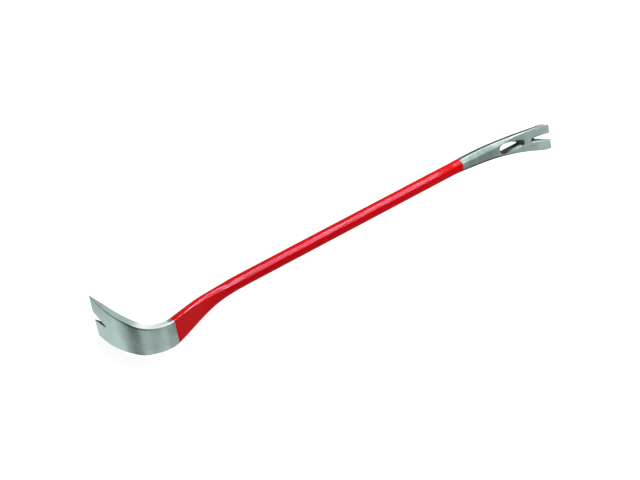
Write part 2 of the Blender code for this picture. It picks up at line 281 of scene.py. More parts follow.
# Section outline: a chamfered oblong whose eight corners are rounded a little

def straight_between(start, end, steps):
    """Points of a straight side, without its ends."""
    return [
        (start[0] + (end[0] - start[0]) * k / steps, start[1] + (end[1] - start[1]) * k / steps)
        for k in range(1, steps)
    ]


def round_corners(corners, radius, steps):
    """The outline with each corner replaced by an arc of the radius, in steps."""
    arcs = []
    for i, corner in enumerate(corners):
        corner = np.array(corner)
        back = np.array(corners[i - 1]) - corner
        ahead = np.array(corners[(i + 1) % len(corners)]) - corner
        back /= np.linalg.norm(back)
        ahead /= np.linalg.norm(ahead)
        half = math.acos(float(back @ ahead)) / 2
        towards = (back + ahead) / np.linalg.norm(back + ahead)
        centre = corner + towards * radius / math.sin(half)
        first = corner + back * radius / math.tan(half) - centre
        sweep = math.pi - 2 * half
        points = []
        for k in range(steps + 1):
            turn = sweep * k / steps
            cos, sin = math.cos(turn), math.sin(turn)
            points.append((
                centre[0] + first[0] * cos - first[1] * sin,
                centre[1] + first[0] * sin + first[1] * cos,
            ))
        arcs.append(points)
    outline = []
    for i, points in enumerate(arcs):
        outline += points
        outline += straight_between(points[-1], arcs[(i + 1) % len(arcs)][0], FLAT_STEPS)
    return outline


def section_outline(section, edge_radius):
    """Points (inward, across) of a section, anticlockwise."""
    side = section.width / 2
    face = section.depth / 2
    leg = section.chamfer
    corners = (
        (face, side - leg), (face - leg, side), (leg - face, side), (-face, side - leg),
        (-face, leg - side), (leg - face, -side), (face - leg, -side), (face, leg - side),
    )
    radius = min(edge_radius, leg)
    return round_corners(corners, radius, CORNER_STEPS)


def section_ring(along, inset=0.0, edge_radius=STEEL_EDGE_RADIUS):
    """Points of the section's outline, square to the bar."""
    outline = section_outline(section_at(along, inset), edge_radius)
    return [in_bar(along, inward, across) for inward, across in outline]


# Meshes

def stations(start, end):
    """Distances from start to end, a small step apart, with the ends of shaft and foot legs among them."""
    leg_ends_at = [BLADE_CURVE_END_AT, HEEL_END_AT, HEEL_START_AT, NECK_END_AT, 0.0, SHAFT_LENGTH]
    stops = [start] + [place for place in leg_ends_at if start < place < end] + [end]
    places = []
    for near, far in zip(stops, stops[1:]):
        steps = max(1, round((far - near) / STATION_STEP))
        places += list(np.linspace(near, far, steps, endpoint=False))
    return places + [end]


def loft(name, rings, tube=False):
    """A closed body through rings of equally many points, capped, or joined end to start as a tube."""
    mesh = bpy.data.meshes.new(name)
    bm = bmesh.new()
    loops = [[bm.verts.new(point) for point in ring] for ring in rings]
    if tube:
        loops.append(loops[0])
    for near, far in zip(loops, loops[1:]):
        for i in range(len(near)):
            bm.faces.new((near[i - 1], near[i], far[i], far[i - 1]))
    if not tube:
        bm.faces.new(loops[0])
        bm.faces.new(loops[-1][::-1])
    bmesh.ops.recalc_face_normals(bm, faces=bm.faces)
    bm.to_mesh(mesh)
    bm.free()
    return mesh


def steel_rings():
    """The bare foot, the seat let in for the coat, and the bare claw."""
    seat = COAT_THICKNESS + COAT_SEAM
    rings = [section_ring(along) for along in stations(BLADE_EDGE_AT, FOOT_BORDER_AT)]
    rings += [section_ring(along, seat) for along in stations(FOOT_BORDER_AT, CLAW_BORDER_AT)]
    rings += [section_ring(along) for along in stations(CLAW_BORDER_AT, CLAW_TIP_AT)]
    return rings


def coat_rings():
    """Outside of the coat with its two rounded borders, then its inside back again."""
    start = FOOT_BORDER_AT + COAT_SEAM
    end = CLAW_BORDER_AT - COAT_SEAM
    rounding = []
    for k in range(CORNER_STEPS + 1):
        turn = math.pi / 2 * k / CORNER_STEPS
        rounding.append((COAT_EDGE_ROUND * (1 - math.sin(turn)), COAT_EDGE_ROUND * (1 - math.cos(turn))))
    rings = [section_ring(start + run, drop, COAT_EDGE_RADIUS) for drop, run in rounding]
    rings += [
        section_ring(along, 0.0, COAT_EDGE_RADIUS)
        for along in stations(start + COAT_EDGE_ROUND, end - COAT_EDGE_ROUND)[1:-1]
    ]
    rings += [section_ring(end - run, drop, COAT_EDGE_RADIUS) for drop, run in reversed(rounding)]
    rings += [section_ring(along, COAT_THICKNESS) for along in reversed(stations(start, end))]
    return rings


# Cuts: an outline given by its distance from an end and its place across, sunk from the outer face

def cut_rings(outlines, end_at, inwards):
    """Rings of a cutter: each outline lies below the outer face by a share of the bar's depth, and more."""
    rings = []
    for outline, (share, extra) in zip(outlines, inwards):
        ring = []
        for from_end, across in outline:
            along = end_at + from_end
            depth = section_at(along).depth
            ring.append(in_bar(along, depth * (share - 0.5) + extra, across))
        rings.append(ring)
    return rings


def half_circle(centre, radius, direction, steps):
    """Arc round the far end of an outline, from its -Z side to its +Z side."""
    angles = [math.pi * (k / steps - 0.5) for k in range(steps + 1)]
    return [(centre + direction * radius * math.cos(a), radius * math.sin(a)) for a in angles]


def notch_outline(direction, depth, mouth, root_radius):
    """A V that opens past the bar's end, with a round root; direction points from the end into the bar."""
    root_centre = depth - root_radius
    flare = (mouth / 2 - root_radius) / root_centre
    outside = -direction * CUT_MARGIN
    half_outside = mouth / 2 + flare * CUT_MARGIN
    root = half_circle(direction * root_centre, root_radius, direction, ROUND_STEPS)
    near = (outside, -half_outside)
    far = (outside, half_outside)
    return (
        [near] + straight_between(near, root[0], CUT_STEPS)
        + root + straight_between(root[-1], far, CUT_STEPS) + [far]
    )


def teardrop_outline(wide, narrow, narrow_from_tip):
    """The slot's outline: two round ends of the given radii and their common tangents."""
    lean = math.asin((wide - narrow) / (SLOT_WIDE_FROM_TIP - narrow_from_tip))
    points = []
    for centre, radius, start, sweep in (
        (-narrow_from_tip, narrow, -math.pi / 2 + lean, math.pi - 2 * lean),
        (-SLOT_WIDE_FROM_TIP, wide, math.pi / 2 - lean, math.pi + 2 * lean),
    ):
        turns = [start + sweep * k / (2 * ROUND_STEPS) for k in range(2 * ROUND_STEPS + 1)]
        ends = [(centre + radius * math.cos(a), radius * math.sin(a)) for a in turns]
        if points:
            points += straight_between(points[-1], ends[0], CUT_STEPS)
        points += ends
    return points + straight_between(points[-1], points[0], CUT_STEPS)


def lip(radius):
    """Depths below a face and growths of a cut there, for an edge broken by a quarter round."""
    turns = [math.pi / 2 * k / LIP_STEPS for k in range(LIP_STEPS + 1)]
    return [(radius * (1 - math.cos(a)), radius * (1 - math.sin(a))) for a in turns]


def through_cut(front, back, land, end_at, lip_radius):
    """Rings of a cut right through with rounded lips; front(growth) and back(growth) give its outlines,
    and the walls run straight over a land at the back."""
    broken = lip(lip_radius)
    outlines = [front(lip_radius + CUT_MARGIN)]
    inwards = [(0, -CUT_MARGIN)]
    for depth, growth in broken:
        outlines.append(front(growth))
        inwards.append((0, depth))
    if land:
        outlines.append(back(0))
        inwards.append((1 - land, 0))
    for depth, growth in reversed(broken):
        outlines.append(back(growth))
        inwards.append((1, -depth))
    outlines.append(back(lip_radius + CUT_MARGIN))
    inwards.append((1, CUT_MARGIN))
    return cut_rings(outlines, end_at, inwards)


def foot_notch_rings():
    """The V in the foot's edge, the same right through."""
    def outline(growth):
        return notch_outline(
            1, FOOT_NOTCH_DEPTH + growth, FOOT_NOTCH_MOUTH + 2 * growth, FOOT_NOTCH_ROOT_RADIUS + growth
        )

    return through_cut(outline, outline, 0, BLADE_EDGE_AT, NOTCH_LIP)


def claw_notch_rings():
    """The claw's notch, which narrows in a straight line from the outer face to its land."""
    front = notch_outline(-1, CLAW_NOTCH_DEPTH, CLAW_NOTCH_MOUTH, CLAW_NOTCH_ROOT_RADIUS)
    back = notch_outline(-1, CLAW_NOTCH_BACK_DEPTH, CLAW_NOTCH_BACK_MOUTH, CLAW_NOTCH_BACK_ROOT_RADIUS)
    sunk = 1 - CLAW_NOTCH_LAND
    growth = NOTCH_OVERSHOOT / sunk
    beyond = [(f[0] + (f[0] - b[0]) * growth, f[1] + (f[1] - b[1]) * growth) for f, b in zip(front, back)]
    inwards = [(-NOTCH_OVERSHOOT, 0), (sunk, 0), (1, CUT_MARGIN)]
    return cut_rings([beyond, back, back], CLAW_TIP_AT, inwards)


def slot_rings():
    """The teardrop slot, narrower at the back."""
    def front(growth):
        return teardrop_outline(
            SLOT_WIDE_RADIUS + growth, SLOT_NARROW_RADIUS + growth, SLOT_NARROW_FROM_TIP
        )

    def back(growth):
        return teardrop_outline(
            SLOT_BACK_WIDE_RADIUS + growth, SLOT_BACK_NARROW_RADIUS + growth, SLOT_BACK_NARROW_FROM_TIP
        )

    return through_cut(front, back, SLOT_LAND, CLAW_TIP_AT, SLOT_LIP)


def base_centre(mesh):
    """Middle of the mesh's box at its lowest level, where the part's origin is."""
    corners = np.array([vertex.co[:] for vertex in mesh.vertices])
    low, high = corners.min(axis=0), corners.max(axis=0)
    return Vector(((low[0] + high[0]) / 2, (low[1] + high[1]) / 2, low[2]))


def guide_line(shift):
    """Samples of the centre line in the part's frame: distances, points and inward normals."""
    places = np.arange(BLADE_EDGE_AT, CLAW_TIP_AT, GUIDE_STEP)
    samples = np.array([centre_line(along) for along in places])
    points = samples[:, :2] + np.array(shift[:2])
    normals = samples[:, 2:]
    return places, points, normals


def lay_grain(mesh, shift):
    """Stores what the materials follow: each vertex's distance along the bar, inward and across,
    and the way along the bar there."""
    places, points, normals = guide_line(shift)
    tree = KDTree(len(places))
    for i, (x, y) in enumerate(points):
        tree.insert((x, y, 0), i)
    tree.balance()
    grain = []
    ways = []
    for vertex in mesh.vertices:
        x, y, z = vertex.co
        nearest, i, distance = tree.find((x, y, 0))
        offset = np.array((x, y)) - points[i]
        normal = normals[i]
        tangent = np.array((normal[1], -normal[0]))
        grain += [places[i] + offset @ tangent, offset @ normal, z - shift[2]]
        ways += [tangent[0], tangent[1], 0.0]
    for name, values in (("grain", grain), ("way_along", ways)):
        attribute = mesh.attributes.new(name, "FLOAT_VECTOR", "POINT")
        attribute.data.foreach_set("vector", values)


def evaluated_mesh(piece, name):
    """The piece's mesh with its modifiers applied."""
    bpy.context.view_layer.update()
    source = piece.evaluated_get(bpy.context.evaluated_depsgraph_get())
    mesh = bpy.data.meshes.new_from_object(source)
    mesh.name = name
    return mesh


def add_piece(name, mesh, node, shift):
    """A smooth-shaded piece with crisp facets that stands for a node of the frame."""
    mesh.transform(Matrix.Translation(shift))
    lay_grain(mesh, shift)
    mesh.shade_smooth()
    mesh.set_sharp_from_angle(angle=math.radians(SMOOTH_BELOW))
    piece = bpy.data.objects.new(name, mesh)
    bpy.context.scene.collection.objects.link(piece)
    crisp = piece.modifiers.new("crisp_facets", "WEIGHTED_NORMAL")
    crisp.keep_sharp = True
    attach(piece, "root")
    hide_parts(node)


def cut_mesh(mesh, cutters, cut_material):
    """The mesh with each cutter taken out; the walls of the cuts take their own material."""
    body = bpy.data.objects.new("uncut", mesh)
    bpy.context.scene.collection.objects.link(body)
    tools = []
    for name, rings in cutters:
        tool = bpy.data.objects.new(name, loft(name, rings))
        tool.data.materials.append(cut_material)
        bpy.context.scene.collection.objects.link(tool)
        tools.append(tool)
        boolean = body.modifiers.new(name, "BOOLEAN")
        boolean.operation = "DIFFERENCE"
        boolean.solver = "EXACT"
        boolean.material_mode = "TRANSFER"
        boolean.object = tool
    result = evaluated_mesh(body, mesh.name)
    for used in tools + [body]:
        bpy.data.objects.remove(used, do_unlink=True)
    return result


# Materials: their patterns follow the bar, since "grain" holds the distance along it, inward and across

# The parts of "grain", and the upward part of a direction
ALONG, INWARD, ACROSS = range(3)
UP = 2

# A noise pattern: its cells in each metre along, inward and across, and the finer detail in them
Noise = namedtuple("Noise", "scale detail roughness")
# The part of a noise's values that is stretched to full contrast
NOISE_RANGE = (0.3, 0.7)

# A relief: its height in metres and its strength
Relief = namedtuple("Relief", "distance strength")

# Ground steel: colours, tint at grazing angles, and finish
STEEL_DARK = (0.125, 0.165, 0.157)
STEEL_PALE = (0.73, 0.90, 0.865)
# Colour of worn edges, and of the painted highlights on the heel's flank and on the claw's bevel and crest
STEEL_WORN_AND_HIGHLIGHT = (0.92, 1.0, 0.98)
# Painted shade: the dark colour that the claw's bevels and flank are mixed towards
STEEL_PAINTED_SHADE = (0.06, 0.078, 0.074)
STEEL_GRAZING_TINT = (0.46, 0.48, 0.47, 1.0)
STEEL_ROUGHNESS = 0.42
STEEL_ROUGHNESS_VARIES = 0.05
STEEL_BRUSHING = 0.4
WORN_SMOOTHER = 0.06

# Ground steel: cloudy patches, fine grinding lines and longer streaks
STEEL_CLOUDS = Noise((55, 40, 40), 3.0, 0.55)
STEEL_LINES = Noise((160, 2600, 2600), 3.0, 0.6)
STEEL_STREAKS = Noise((14, 420, 420), 2.0, 0.5)
LINE_RELIEF = Relief(0.00003, 0.35)
STREAK_RELIEF = Relief(0.00006, 0.35)

# Tone of the ground steel from 0, dark, to 1, pale, which along the bar is a painted reflection, and what
# the noises and the blade's flank, as painted shade, change in it
BLADE_REFLECTION_TONE = 0.70
HEEL_REFLECTION_TONE = 0.295
CLAW_ROOT_REFLECTION_TONE = 0.0
CLAW_TIP_REFLECTION_TONE = 0.235
BLADE_FLANK_PAINTED_SHADE = 0.25
CLOUDS_TONE = 0.04
STREAKS_TONE = 0.02
LINES_TONE = 0.02

# Change of tone in each metre across the foot: a painted reflection, paler towards -Z
BLADE_PAINTED_REFLECTION_ACROSS = -6.0
HEEL_PAINTED_REFLECTION_ACROSS = -4.0

# Shares of the painted shade, and of the colour for worn edges and painted highlights, in the steel
WORN_POLISH = 0.60
CLAW_UPPER_BEVEL_PAINTED_SHADE = 0.74
CLAW_LOWER_BEVEL_PAINTED_SHADE = 1.0
CLAW_FLANK_PAINTED_SHADE = 0.7
CLAW_CREST_PAINTED_HIGHLIGHT = 0.18
CLAW_UPPER_BEVEL_PAINTED_HIGHLIGHT = 0.34

# How squarely a flank, a flank's edge and a bevel face across the bar: the values between which each
# fades in, and for the bevel out again
FLANK_FACING = (0.85, 0.97)
SIDE_EDGE_FACING = (0.70, 0.80)
BEVEL_FACING = (0.40, 0.55, 0.78, 0.86)

# Bends between which a worn edge fades in, and the same for the crest of a face just below a flank, which
# takes a painted highlight on the claw, with the radius that it is looked for in
WORN_BEND = (0.004, 0.030)
CREST_RADIUS = 0.0030
CREST_RISE = (0.01, 0.12)

# Stretches along the bar, by the places between which each fades in, and with four places out again;
# the dark bands, which are painted dark reflections, are given with their strengths
PAINTED_REFLECTION_BANDS = (
    ((-0.228, -0.200, -0.197, -0.186), 0.76),
    ((-0.182, -0.175, -0.171, -0.165), 0.30),
    ((-0.163, -0.158, -0.150, -0.145), 0.35),
)
# Stretch of the heel's flank that takes a painted highlight
HEEL_FLANK_PAINTED_HIGHLIGHT = (-0.216, -0.170, -0.158, -0.150)
# Stretches over which the painted reflection's tone goes from blade to heel, and from the claw's root to its
# tip
BLADE_TO_HEEL = (-0.244, -0.200)
CLAW_ROOT_TO_TIP = (0.415, 0.570)
# Stretch of the claw over which its upper bevel takes a painted highlight
CLAW_BEVEL_PAINTED_HIGHLIGHT_RANGE = (0.484, 0.505)
# Stretch of the claw over which its flank takes painted shade
CLAW_FLANK_PAINTED_SHADE_RANGE = (0.44, 0.50)

# Walls of the cuts: colours and grain of the forging scale, which also stand for painted shade deep in the
# cuts, and where it is rubbed bright by use
SCALE_AND_SHADE_DARK = (0.02, 0.028, 0.026)
SCALE_AND_SHADE_PALE = (0.06, 0.08, 0.075)
SCALE_RUBBED = (0.42, 0.52, 0.50)
SCALE_ROUGHNESS = (0.45, 0.6)
SCALE_CLOUDS = Noise((500, 500, 500), 3.0, 0.6)
SCALE_RELIEF = Relief(0.0001, 0.4)
# Depths below the outer face over which the rubbed wall fades into the dark scale and painted shade
WALL_RUBBED_TO_SHADE = (-0.0036, 0.0004)
SLOT_RUBBED = (0.484, 0.502)
CLAW_NOTCH_RUBBED = (0.515, 0.530)
CLAW_NOTCH_RUBBED_SHARE = 0.4
SIDE_WALLS = (0.30, 0.65)

# Red coat: colours where it is deep, fresh, and thin over its edges, and the tint of its gloss
COAT_DEEP = (0.61, 0.0, 0.0003)
COAT_FRESH = (0.69, 0.0, 0.001)
COAT_THIN = (0.77, 0.002, 0.008)
COAT_GLINT = (1.0, 0.64, 1.0, 1.0)
COAT_THIN_RADIUS = 0.0005
COAT_THIN_BEND = (0.02, 0.30)
COAT_THIN_SHARE = 0.4

# Red coat: gloss and orange peel, duller on the facets that face down
COAT_SPECULAR = 0.05
COAT_ROUGHNESS = 0.09
COAT_ROUGHNESS_VARIES = 0.03
COAT_DULLER_BELOW = 0.45
COAT_UNDERSIDE = (0.30, 0.60)
COAT_CLOUDS = Noise((30, 60, 60), 2.0, 0.5)
COAT_PEEL = Noise((260, 420, 420), 2.0, 0.5)
COAT_PEEL_RELIEF = Relief(0.00008, 0.15)


class Pattern:
    """Builds pattern nodes in a node tree; each call returns the socket that carries its result."""

    def __init__(self, tree):
        self.nodes = tree.nodes
        self.links = tree.links

    def feed(self, socket, value):
        """Gives a socket a value, or the result that another socket carries."""
        if isinstance(value, bpy.types.NodeSocket):
            self.links.new(value, socket)
        else:
            socket.default_value = value

    def attribute(self, name):
        """A vector that is stored on the mesh."""
        node = self.nodes.new("ShaderNodeAttribute")
        node.attribute_name = name
        return node.outputs["Vector"]

    def part(self, vector, axis):
        """One of a vector's three values."""
        node = self.nodes.new("ShaderNodeSeparateXYZ")
        self.links.new(vector, node.inputs[0])
        return node.outputs[axis]

    def vector_math(self, operation, a, b):
        node = self.nodes.new("ShaderNodeVectorMath")
        node.operation = operation
        self.feed(node.inputs[0], a)
        self.feed(node.inputs[1], b)
        return node

    def dot(self, a, b):
        return self.vector_math("DOT_PRODUCT", a, b).outputs["Value"]

    def noise(self, places, noise):
        """Cloudy noise, from 0 to 1, over places that are stretched by the noise's scale."""
        stretched = self.vector_math("MULTIPLY", places, noise.scale).outputs["Vector"]
        node = self.nodes.new("ShaderNodeTexNoise")
        self.links.new(stretched, node.inputs["Vector"])
        node.inputs["Scale"].default_value = 1.0
        node.inputs["Detail"].default_value = noise.detail
        node.inputs["Roughness"].default_value = noise.roughness
        return node.outputs["Fac"]

    def math(self, operation, a, b=0.0):
        node = self.nodes.new("ShaderNodeMath")
        node.operation = operation
        self.feed(node.inputs[0], a)
        self.feed(node.inputs[1], b)
        return node.outputs[0]

    def product(self, first, *others):
        """The first value times all the others."""
        for other in others:
            first = self.math("MULTIPLY", first, other)
        return first

    def most(self, first, *others):
        """The largest of the values."""
        for other in others:
            first = self.math("MAXIMUM", first, other)
        return first

    def ramp(self, value, low, high, to_low=0.0, to_high=1.0):
        """Smooth step of a value from one range to another."""
        node = self.nodes.new("ShaderNodeMapRange")
        node.interpolation_type = "SMOOTHSTEP"
        numbers = {"From Min": low, "From Max": high, "To Min": to_low, "To Max": to_high}
        for name, number in numbers.items():
            node.inputs[name].default_value = number
        self.links.new(value, node.inputs["Value"])
        return node.outputs["Result"]

    def between(self, value, places):
        """1 between the two inner places and 0 outside the two outer ones."""
        fade_in = self.ramp(value, places[0], places[1])
        fade_out = self.ramp(value, places[2], places[3], 1.0, 0.0)
        return self.product(fade_in, fade_out)

    def mix(self, factor, a, b):
        """Colour a turning into colour b as the factor goes from 0 to 1."""
        node = self.nodes.new("ShaderNodeMix")
        node.data_type = "RGBA"
        self.feed(node.inputs["Factor"], factor)
        for name, colour in (("A", a), ("B", b)):
            mixed = isinstance(colour, bpy.types.NodeSocket)
            self.feed(node.inputs[name], colour if mixed else (*colour, 1))
        return node.outputs["Result"]

    def raised(self, height, relief, normal=None):
        """The surface's normal with a relief that follows a height, on top of another normal if given."""
        node = self.nodes.new("ShaderNodeBump")
        node.inputs["Distance"].default_value = relief.distance
        node.inputs["Strength"].default_value = relief.strength
        self.links.new(height, node.inputs["Height"])
        if normal is not None:
            self.links.new(normal, node.inputs["Normal"])
        return node.outputs["Normal"]

    def normal(self):
        return self.nodes.new("ShaderNodeNewGeometry").outputs["Normal"]

    def rounded_normal(self, radius):
        """The surface's normal as if its edges were rounded by the radius."""
        bevel = self.nodes.new("ShaderNodeBevel")
        bevel.inputs["Radius"].default_value = radius
        return bevel.outputs["Normal"]

    def facing_up(self):
        """How squarely the surface faces +Z: 1 on the upper flank and -1 on the lower one."""
        return self.part(self.normal(), UP)

    def facing_down(self):
        """How squarely the surface faces -Z: 1 on the lower flank and -1 on the upper one."""
        return self.math("SUBTRACT", 0.0, self.facing_up())

    def facing_across(self):
        """How squarely the surface faces across the bar: 1 on its flanks."""
        return self.math("ABSOLUTE", self.facing_up())

    def rise(self, radius):
        """How far the surface bends towards +Z within a radius: more on a face just below a flank."""
        return self.math("SUBTRACT", self.part(self.rounded_normal(radius), UP), self.facing_up())

    def bend(self, radius):
        """How far the surface bends within a radius: 0 on a flat face, more at an edge."""
        return self.math("SUBTRACT", 1.0, self.dot(self.rounded_normal(radius), self.normal()))


class SteelPattern(Pattern):
    """The ground steel's pattern: where its flanks, bevels and worn edges are, and its tones there, with
    painted reflections, painted shade and painted highlights among them.
    """

    def __init__(self, tree):
        super().__init__(tree)
        self.grain = self.attribute("grain")
        self.along = self.part(self.grain, ALONG)
        self.on_claw = self.ramp(self.along, 0.0, SHAFT_LENGTH)
        self.flank = self.ramp(self.facing_across(), *FLANK_FACING)
        self.upper_bevel = self.between(self.facing_up(), BEVEL_FACING)
        self.lower_bevel = self.between(self.facing_down(), BEVEL_FACING)
        self.worn = self.product(
            self.ramp(self.bend(STEEL_EDGE_RADIUS), *WORN_BEND),
            self.ramp(self.facing_across(), *SIDE_EDGE_FACING),
            self.math("SUBTRACT", 1.0, self.on_claw),
        )

    def painted_reflection_bands(self):
        """Share of the tone that the painted dark reflections across the heel leave; the flanks have no
        bands.
        """
        light_left = 1.0
        for places, strength in PAINTED_REFLECTION_BANDS:
            band = self.product(self.between(self.along, places), strength)
            light_left = self.math("SUBTRACT", light_left, band)
        return self.most(light_left, self.flank)

    def tone(self):
        """Tone as a painted reflection from the blade to the heel and from the claw's root to its tip, with
        painted shade on the blade's flank and a painted reflection across the foot, without the noises.
        """
        tone = self.ramp(self.along, *BLADE_TO_HEEL, BLADE_REFLECTION_TONE, HEEL_REFLECTION_TONE)
        claw_painted_darker = self.product(self.on_claw, HEEL_REFLECTION_TONE - CLAW_ROOT_REFLECTION_TONE)
        tone = self.math("SUBTRACT", tone, claw_painted_darker)
        tip_painted_paler = self.ramp(self.along, *CLAW_ROOT_TO_TIP, 0.0, CLAW_TIP_REFLECTION_TONE - CLAW_ROOT_REFLECTION_TONE)
        tone = self.math("ADD", tone, tip_painted_paler)
        tone = self.product(tone, self.painted_reflection_bands())
        blade_painted_shade = self.ramp(self.along, *BLADE_TO_HEEL, BLADE_FLANK_PAINTED_SHADE, 0.0)
        tone = self.math("SUBTRACT", tone, self.product(self.flank, blade_painted_shade))
        painted_slope_across = self.ramp(self.along, *BLADE_TO_HEEL, BLADE_PAINTED_REFLECTION_ACROSS, HEEL_PAINTED_REFLECTION_ACROSS)
        on_foot = self.ramp(self.along, FOOT_BORDER_AT, 0.0, 1.0, 0.0)
        return self.math("ADD", tone, self.product(self.part(self.grain, ACROSS), painted_slope_across, on_foot))

    def with_painted_shade(self, body):
        """The body colour with painted shade on the claw's upper and lower bevels and, towards its tip, on
        its flank.
        """
        upper_painted_shade = self.product(self.upper_bevel, self.on_claw, CLAW_UPPER_BEVEL_PAINTED_SHADE)
        lower_painted_shade = self.product(self.lower_bevel, self.on_claw, CLAW_LOWER_BEVEL_PAINTED_SHADE)
        flank = self.product(self.flank, self.ramp(self.along, *CLAW_FLANK_PAINTED_SHADE_RANGE, 0.0, CLAW_FLANK_PAINTED_SHADE))
        for shade in (upper_painted_shade, lower_painted_shade, flank):
            body = self.mix(shade, body, STEEL_PAINTED_SHADE)
        return body

    def worn_and_highlight(self):
        """Share of the colour for worn edges and painted highlights: worn edges, and painted highlights on
        the heel's flank and on the claw's bevel and crest.
        """
        heel_highlight = self.product(self.between(self.along, HEEL_FLANK_PAINTED_HIGHLIGHT), self.flank)
        worn = self.product(self.worn, WORN_POLISH)
        # Painted highlight on the claw's upper bevel towards its tip
        to_tip = self.ramp(self.along, *CLAW_BEVEL_PAINTED_HIGHLIGHT_RANGE, 0.0, CLAW_UPPER_BEVEL_PAINTED_HIGHLIGHT)
        bevel = self.product(self.upper_bevel, to_tip)
        # Painted highlight along the claw's crest, just below its flank
        crest_highlight = self.ramp(self.rise(CREST_RADIUS), *CREST_RISE)
        crest_highlight = self.product(crest_highlight, self.on_claw, CLAW_CREST_PAINTED_HIGHLIGHT)
        return self.most(heel_highlight, worn, bevel, crest_highlight)


def new_material(name):
    """A node material, and the inputs of its shader."""
    material = bpy.data.materials.new(name)
    material.use_nodes = True
    return material, material.node_tree.nodes["Principled BSDF"].inputs


def ground_steel():
    """Satin ground steel: fine lines along the bar, cloudy patches and worn edges, with painted reflections
    as paler and darker stretches, painted shade on the claw, and painted highlights.
    """
    material, inputs = new_material("ground_steel")
    inputs["Metallic"].default_value = 1.0
    inputs["Anisotropic"].default_value = STEEL_BRUSHING
    inputs["Specular Tint"].default_value = STEEL_GRAZING_TINT
    pattern = SteelPattern(material.node_tree)
    clouds = pattern.noise(pattern.grain, STEEL_CLOUDS)
    lines = pattern.noise(pattern.grain, STEEL_LINES)
    streaks = pattern.noise(pattern.grain, STEEL_STREAKS)
    tone = pattern.tone()
    for noise, strength in ((clouds, CLOUDS_TONE), (streaks, STREAKS_TONE), (lines, LINES_TONE)):
        tone = pattern.math("ADD", tone, pattern.ramp(noise, *NOISE_RANGE, -strength, strength))
    body = pattern.with_painted_shade(pattern.mix(tone, STEEL_DARK, STEEL_PALE))
    pattern.feed(inputs["Base Color"], pattern.mix(pattern.worn_and_highlight(), body, STEEL_WORN_AND_HIGHLIGHT))

    varies = pattern.ramp(clouds, *NOISE_RANGE, STEEL_ROUGHNESS_VARIES, -STEEL_ROUGHNESS_VARIES)
    rough = pattern.math("ADD", varies, STEEL_ROUGHNESS)
    rough = pattern.math("SUBTRACT", rough, pattern.product(pattern.worn, WORN_SMOOTHER))
    pattern.feed(inputs["Roughness"], rough)
    streaked = pattern.raised(streaks, STREAK_RELIEF)
    pattern.feed(inputs["Normal"], pattern.raised(lines, LINE_RELIEF, streaked))
    pattern.feed(inputs["Tangent"], pattern.attribute("way_along"))
    return material


def punched_steel():
    """Walls of the slot and the notches: dark scale within, which is also painted shade deep in the cuts,
    rubbed bright towards the claw's outer face.
    """
    material, inputs = new_material("punched_steel")
    inputs["Metallic"].default_value = 1.0
    pattern = Pattern(material.node_tree)
    grain = pattern.attribute("grain")
    along = pattern.part(grain, ALONG)
    clouds = pattern.noise(grain, SCALE_CLOUDS)
    scale = pattern.mix(pattern.ramp(clouds, *NOISE_RANGE), SCALE_AND_SHADE_DARK, SCALE_AND_SHADE_PALE)
    outward = pattern.ramp(pattern.part(grain, INWARD), *WALL_RUBBED_TO_SHADE, 1.0, 0.0)
    in_notch = pattern.ramp(along, *CLAW_NOTCH_RUBBED, 0.0, CLAW_NOTCH_RUBBED_SHARE)
    rubbed = pattern.product(
        pattern.most(outward, in_notch),
        pattern.ramp(along, *SLOT_RUBBED),
        pattern.ramp(pattern.facing_across(), *SIDE_WALLS),
    )
    pattern.feed(inputs["Base Color"], pattern.mix(rubbed, scale, SCALE_RUBBED))
    pattern.feed(inputs["Roughness"], pattern.ramp(clouds, *NOISE_RANGE, *SCALE_ROUGHNESS))
    pattern.feed(inputs["Normal"], pattern.raised(clouds, SCALE_RELIEF))
    return material


def red_coat():
    """Glossy baked red coat with a faint orange peel, thin over its edges and duller underneath."""
    material, inputs = new_material("red_coat")
    inputs["Specular Tint"].default_value = COAT_GLINT
    inputs["Specular IOR Level"].default_value = COAT_SPECULAR
    pattern = Pattern(material.node_tree)
    grain = pattern.attribute("grain")
    clouds = pattern.noise(grain, COAT_CLOUDS)
    peel = pattern.noise(grain, COAT_PEEL)
    edge = pattern.ramp(pattern.bend(COAT_THIN_RADIUS), *COAT_THIN_BEND)
    body = pattern.mix(pattern.ramp(clouds, *NOISE_RANGE), COAT_DEEP, COAT_FRESH)
    pattern.feed(inputs["Base Color"], pattern.mix(pattern.product(edge, COAT_THIN_SHARE), body, COAT_THIN))

    smoothest = COAT_ROUGHNESS - COAT_ROUGHNESS_VARIES
    roughest = COAT_ROUGHNESS + COAT_ROUGHNESS_VARIES
    rough = pattern.ramp(clouds, *NOISE_RANGE, smoothest, roughest)
    duller = pattern.ramp(pattern.facing_down(), *COAT_UNDERSIDE, 0.0, COAT_DULLER_BELOW)
    pattern.feed(inputs["Roughness"], pattern.math("ADD", rough, duller))
    pattern.feed(inputs["Normal"], pattern.raised(peel, COAT_PEEL_RELIEF))
    return material


# Pieces

def build_bar():
    """Adds the steel bar and its coat, and returns the shift from the bar's own coordinates to the frame."""
    uncut = loft("steel_bar", steel_rings())
    uncut.materials.append(ground_steel())
    shift = -base_centre(uncut)
    cutters = (
        ("foot_notch", foot_notch_rings()),
        ("claw_notch", claw_notch_rings()),
        ("hanging_slot", slot_rings()),
    )
    mesh = cut_mesh(uncut, cutters, punched_steel())
    add_piece("steel_bar", mesh, "forged_bar", shift)
    coat = loft("coat", coat_rings(), tube=True)
    coat.materials.append(red_coat())
    add_piece("coat", coat, "red_coat", shift)
    return shift


# Studio

